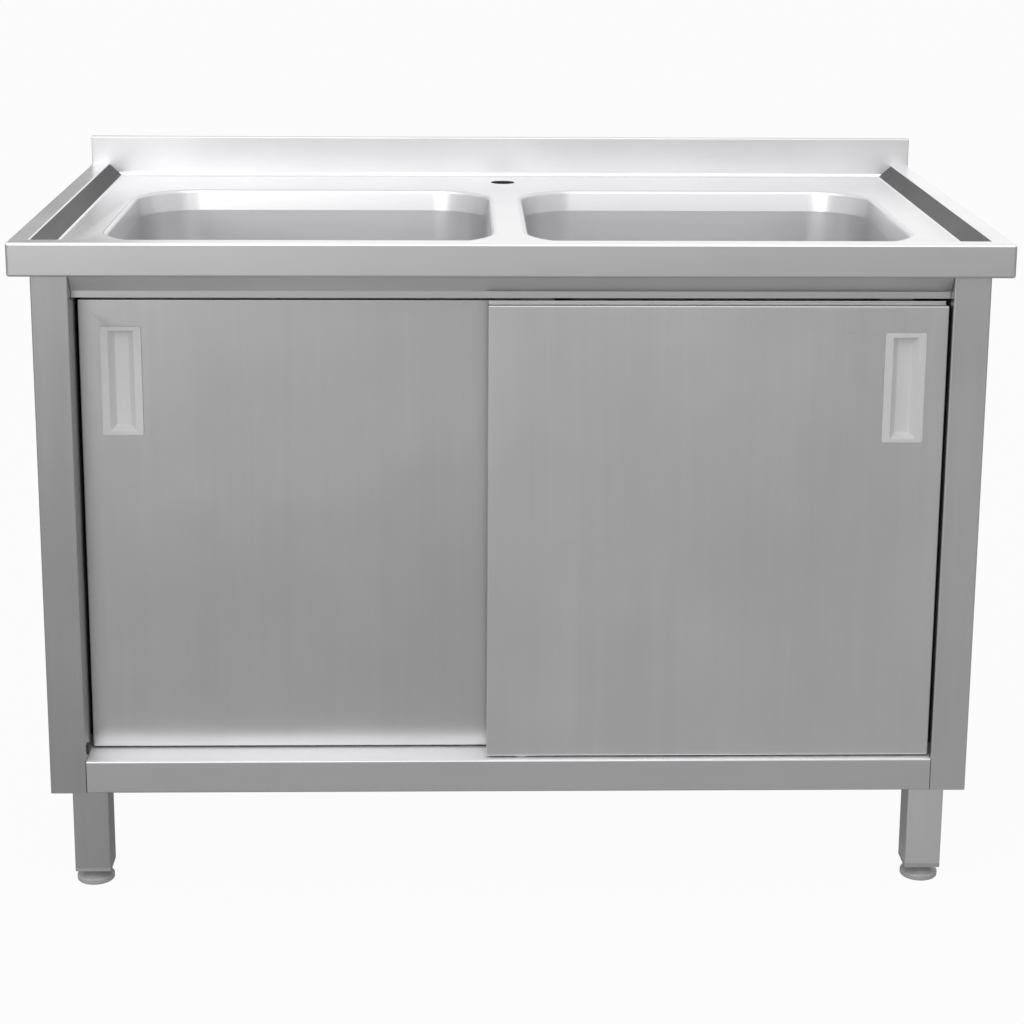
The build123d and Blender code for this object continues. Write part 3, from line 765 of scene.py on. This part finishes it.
def makeFloor():
    # the camera sees the floor nearly white, with the shadow; the steel mirrors a little of that glow
    finish = Finish("floorPaint", {"Roughness": floor["rough"], "Base Color": floor["shade"]})
    tree = finish.tree
    glow = finish.node("ShaderNodeEmission", {}, {"Color": 1.0, "Strength": 1.0})
    seen = finish.node("ShaderNodeLightPath", {}, {}, "Is Camera Ray")
    mirrored = finish.node("ShaderNodeLightPath", {}, {}, "Is Glossy Ray")
    share = seen * floor["lift"] + mirrored * floor["mirrorLift"]
    mix = finish.node("ShaderNodeMixShader", {}, {0: share})
    tree.links.new(finish.shader.outputs[0], mix.socket.node.inputs[1])
    tree.links.new(glow.socket, mix.socket.node.inputs[2])
    tree.links.new(mix.socket, tree.nodes["Material Output"].inputs["Surface"])
    reach = floor["half"]
    corners = [(-reach, -reach, 0), (reach, -reach, 0), (reach, reach, 0), (-reach, reach, 0)]
    makeStudioSheet("floor", corners, finish.material)


def makeFlag():
    # a dark cloth behind the left end, seen only as a mirror image in the steel
    f = flag
    spots = [(f["left"], f["low"]), (f["right"], f["low"]), (f["right"], f["high"]), (f["left"], f["high"])]
    cloth = Finish("flagCloth", {"Roughness": f["rough"], "Base Color": f["shade"]})
    made = makeStudioSheet("flag", [(x, f["y"], z) for x, z in spots], cloth.material)
    made.visible_camera = False
    made.visible_diffuse = False
    made.visible_shadow = False


makeFloor()
makeFlag()

lamps = {  # metres and watts
    "ceilingBox": {"spot": (-0.4, -2.0, 3.3), "aim": (0, -0.6, 0), "size": (3.4, 2.6), "power": 34},
    "backPanel": {"spot": (1.32, 4.4, 1.35), "aim": (0.5, 0, 0.9), "size": (4.8, 2.4), "power": 6},
    "frontPanel": {"spot": (-2.3, -7.4, 2.6), "aim": (-0.3, 0, 0.8), "size": (4.3, 4.0), "power": 62},
    "rightPanel": {"spot": (2.0, -7.6, 2.3), "aim": (0.3, 0, 0.8), "size": (2.2, 2.4), "power": 13},
    "leftBox": {"spot": (-3.0, -2.4, 3.0), "aim": (-0.1, 0, 0.5), "size": (1.0, 1.0), "power": 10},
    "floorWash": {"spot": (-2.7, -6.2, 1.7), "aim": (-2.5, -6.0, 0), "size": (1.2, 1.4), "power": 56},
}
for name, lamp in lamps.items():
    data = bpy.data.lights.new(name, "AREA")
    data.shape = "RECTANGLE"
    data.size, data.size_y = lamp["size"]
    data.energy = lamp["power"]
    made = bpy.data.objects.new(name, data)
    made.location = lamp["spot"]
    made.rotation_euler = (Vector(lamp["aim"]) - Vector(lamp["spot"])).to_track_quat("-Z", "Y").to_euler()
    made.visible_camera = False
    scene.collection.objects.link(made)

room = {"shade": 0.34, "white": 1.0}


def makeRoom():
    # grey light all round; the camera sees it white, and so does the steel's mirror image
    world = bpy.data.worlds.new("studio")
    scene.world = world
    world.use_nodes = True
    tree = world.node_tree
    tree.nodes.clear()
    output = tree.nodes.new("ShaderNodeOutputWorld")
    mix = tree.nodes.new("ShaderNodeMixShader")
    path = tree.nodes.new("ShaderNodeLightPath")
    shown = tree.nodes.new("ShaderNodeMath")
    shown.operation = "MAXIMUM"
    tree.links.new(path.outputs["Is Camera Ray"], shown.inputs[0])
    tree.links.new(path.outputs["Is Glossy Ray"], shown.inputs[1])
    tree.links.new(shown.outputs[0], mix.inputs[0])
    for plug, shade in ((1, room["shade"]), (2, room["white"])):
        wall = tree.nodes.new("ShaderNodeBackground")
        wall.inputs["Color"].default_value = (shade, shade, shade, 1)
        wall.inputs["Strength"].default_value = 1.0
        tree.links.new(wall.outputs[0], mix.inputs[plug])
    tree.links.new(mix.outputs[0], output.inputs["Surface"])


makeRoom()

cameraFacts = {  # fitted to the photograph: millimetres, degrees and pixels
    "spot": (-73.531, -3069.561, 1291.12),
    "yaw": 1.521,
    "pitch": 13.272,
    "roll": 0.371,
    "focalPixels": 2328.893,
    "frame": 1024,
    "sensor": 36.0,
    "shiftY": -0.12,
}


def makeCamera():
    c = cameraFacts
    yaw, pitch, roll = radians(c["yaw"]), radians(c["pitch"]), radians(c["roll"])
    ahead = Vector((sin(yaw) * cos(pitch), cos(yaw) * cos(pitch), -sin(pitch)))
    level = Vector((cos(yaw), -sin(yaw), 0))
    over = level.cross(ahead)
    right = level * cos(roll) + over * sin(roll)
    up = over * cos(roll) - level * sin(roll)
    data = bpy.data.cameras.new("camera")
    data.sensor_width = c["sensor"]
    data.lens = c["focalPixels"] * c["sensor"] / c["frame"]
    data.shift_y = c["shiftY"]
    made = bpy.data.objects.new("camera", data)
    turn = Matrix((right, up, -ahead)).transposed()
    made.matrix_world = Matrix.Translation(Vector(c["spot"]) * mm) @ turn.to_4x4()
    scene.collection.objects.link(made)
    scene.camera = made


makeCamera()
scene.view_settings.view_transform = "Standard"
print("floor, light and camera made")
